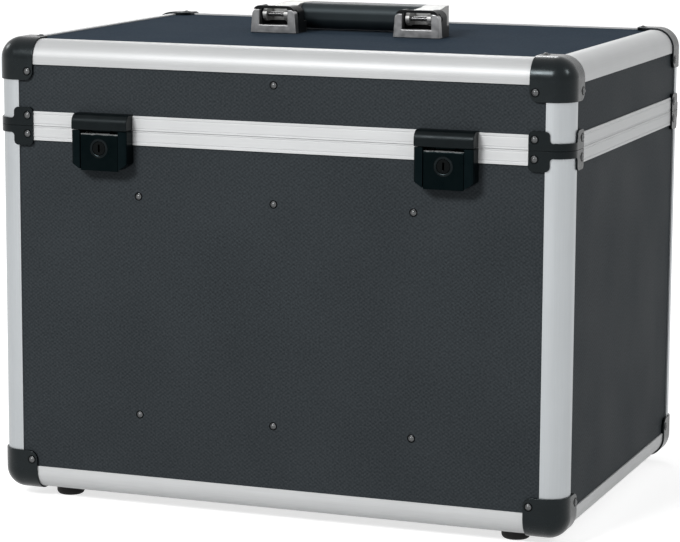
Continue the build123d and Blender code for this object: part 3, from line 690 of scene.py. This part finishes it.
latch_tail = turned(
    "latch rivet tail",
    [
        (4.2 * MM, 0),
        (4.2 * MM, 0.5 * MM),
        (2.2 * MM, 0.6 * MM),
        (2.1 * MM, 1.4 * MM),
        (1.6 * MM, 1.9 * MM),
        (0.7 * MM, 2.1 * MM),
    ],
)
tail_along = 14.0 * MM
tail_down = 24.0 * MM
panel_inside_y = front_y + panel_recess + panel_depth
tail_spots = []
for hand in ("left", "right"):
    centre = sum(corner.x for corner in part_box(f"{hand}_latch_base")) / 2
    for x in (centre - tail_along, centre + tail_along):
        tail_spots.append(((x, panel_inside_y, part_z - tail_down), (0, 1, 0)))
copies("latch_rivet_tails", latch_tail, tail_spots, "case", plated_steel)
remove(latch_tail)


# Rings round the key plugs

lever_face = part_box("right_latch_lever")[0].y
ring = turned(
    "key ring",
    [
        (7.4 * MM, 0),
        (7.4 * MM, 0.25 * MM),
        (7.0 * MM, 0.6 * MM),
        (6.1 * MM, 0.6 * MM),
        (5.5 * MM, 0.25 * MM),
        (5.5 * MM, 0),
    ],
    facets=48,
)
for hand in ("left", "right"):
    low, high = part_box(f"{hand}_key_plug")
    ring_spot = (((low.x + high.x) / 2, lever_face, (low.z + high.z) / 2), (0, -1, 0))
    copies(f"{hand}_key_ring", ring, [ring_spot], f"{hand}_lever", ring_metal)
remove(ring)


# Floor, light and camera


def seen_directly(tree):
    """One for rays of the camera, of gloss and of glass, which see the white background itself."""
    path = tree.nodes.new("ShaderNodeLightPath")
    seen = mathematics(tree, "MAXIMUM", path.outputs["Is Camera Ray"], path.outputs["Is Glossy Ray"])
    return mathematics(tree, "MAXIMUM", seen, path.outputs["Is Transmission Ray"])


floor_glow_near = 0.73
floor_glow_far = 0.90
floor_near = 0.4
floor_far = 2.5
soft_light = 0.26


def studio_floor():
    """A wide pale floor that is white where it is seen and keeps the shadow."""
    deselect()
    bpy.ops.mesh.primitive_plane_add(size=60, location=(0, 0, 0))
    floor = bpy.context.object
    floor.name = "floor"
    material, tree, shader = new_material("white floor", (0.60, 0.60, 0.60), 0.9, specular=0.05)
    distance = tree.nodes.new("ShaderNodeVectorMath")
    distance.operation = "LENGTH"
    tree.links.new(object_place(tree), distance.inputs[0])
    away = distance.outputs["Value"]
    level = spread(tree, away, floor_glow_near, floor_glow_far, floor_near, floor_far)
    glow = mathematics(tree, "MULTIPLY", seen_directly(tree), level)
    shader.inputs["Emission Color"].default_value = (1, 1, 1, 1)
    tree.links.new(glow, shader.inputs["Emission Strength"])
    floor.data.materials.append(material)


def studio_world():
    """White for the camera and for reflections, and an even soft light otherwise."""
    world = bpy.data.worlds.new("studio")
    bpy.context.scene.world = world
    world.use_nodes = True
    tree = world.node_tree
    background = tree.nodes["Background"]
    background.inputs["Color"].default_value = (1, 1, 1, 1)
    strength = spread(tree, seen_directly(tree), soft_light, 1.0)
    tree.links.new(strength, background.inputs["Strength"])


case_middle = Vector((0, 0, 0.18))


def softbox(name, place, width, height, power):
    """A rectangular area lamp that points at the middle of the case."""
    lamp = bpy.data.lights.new(name, "AREA")
    lamp.shape = "RECTANGLE"
    lamp.size = width
    lamp.size_y = height
    lamp.energy = power
    holder = bpy.data.objects.new(name, lamp)
    holder.location = place
    holder.rotation_mode = "QUATERNION"
    holder.rotation_quaternion = (case_middle - Vector(place)).to_track_quat("-Z", "Y")
    bpy.context.scene.collection.objects.link(holder)


sensor_width = 36
picture_width = 680
focal_pixels = 2768.7
camera_place = (0.7694, -2.0678, 0.5387)
camera_azimuth = 20.58
camera_elevation = 9.49
camera_roll = 0.31


def camera():
    """The photograph's viewpoint."""
    lens = bpy.data.cameras.new("camera")
    lens.sensor_width = sensor_width
    lens.lens = sensor_width * focal_pixels / picture_width
    lens.clip_start = 0.05
    lens.clip_end = 100
    holder = bpy.data.objects.new("camera", lens)
    turn = (
        Matrix.Rotation(math.radians(camera_azimuth), 4, "Z")
        @ Matrix.Rotation(math.radians(90 - camera_elevation), 4, "X")
        @ Matrix.Rotation(math.radians(camera_roll), 4, "Z")
    )
    holder.matrix_world = Matrix.Translation(camera_place) @ turn
    bpy.context.scene.collection.objects.link(holder)
    bpy.context.scene.camera = holder


studio_floor()
studio_world()
softbox("key", place=(-0.75, -2.7, 2.0), width=0.9, height=0.7, power=74)
softbox("right", place=(2.4, -0.6, 1.9), width=0.4, height=0.7, power=18)
softbox("back", place=(-1.0, 2.5, 2.0), width=0.9, height=0.7, power=20)
softbox("left", place=(-2.6, 0.3, 1.7), width=0.7, height=0.7, power=12)
camera()
bpy.context.scene.view_settings.view_transform = "Standard"
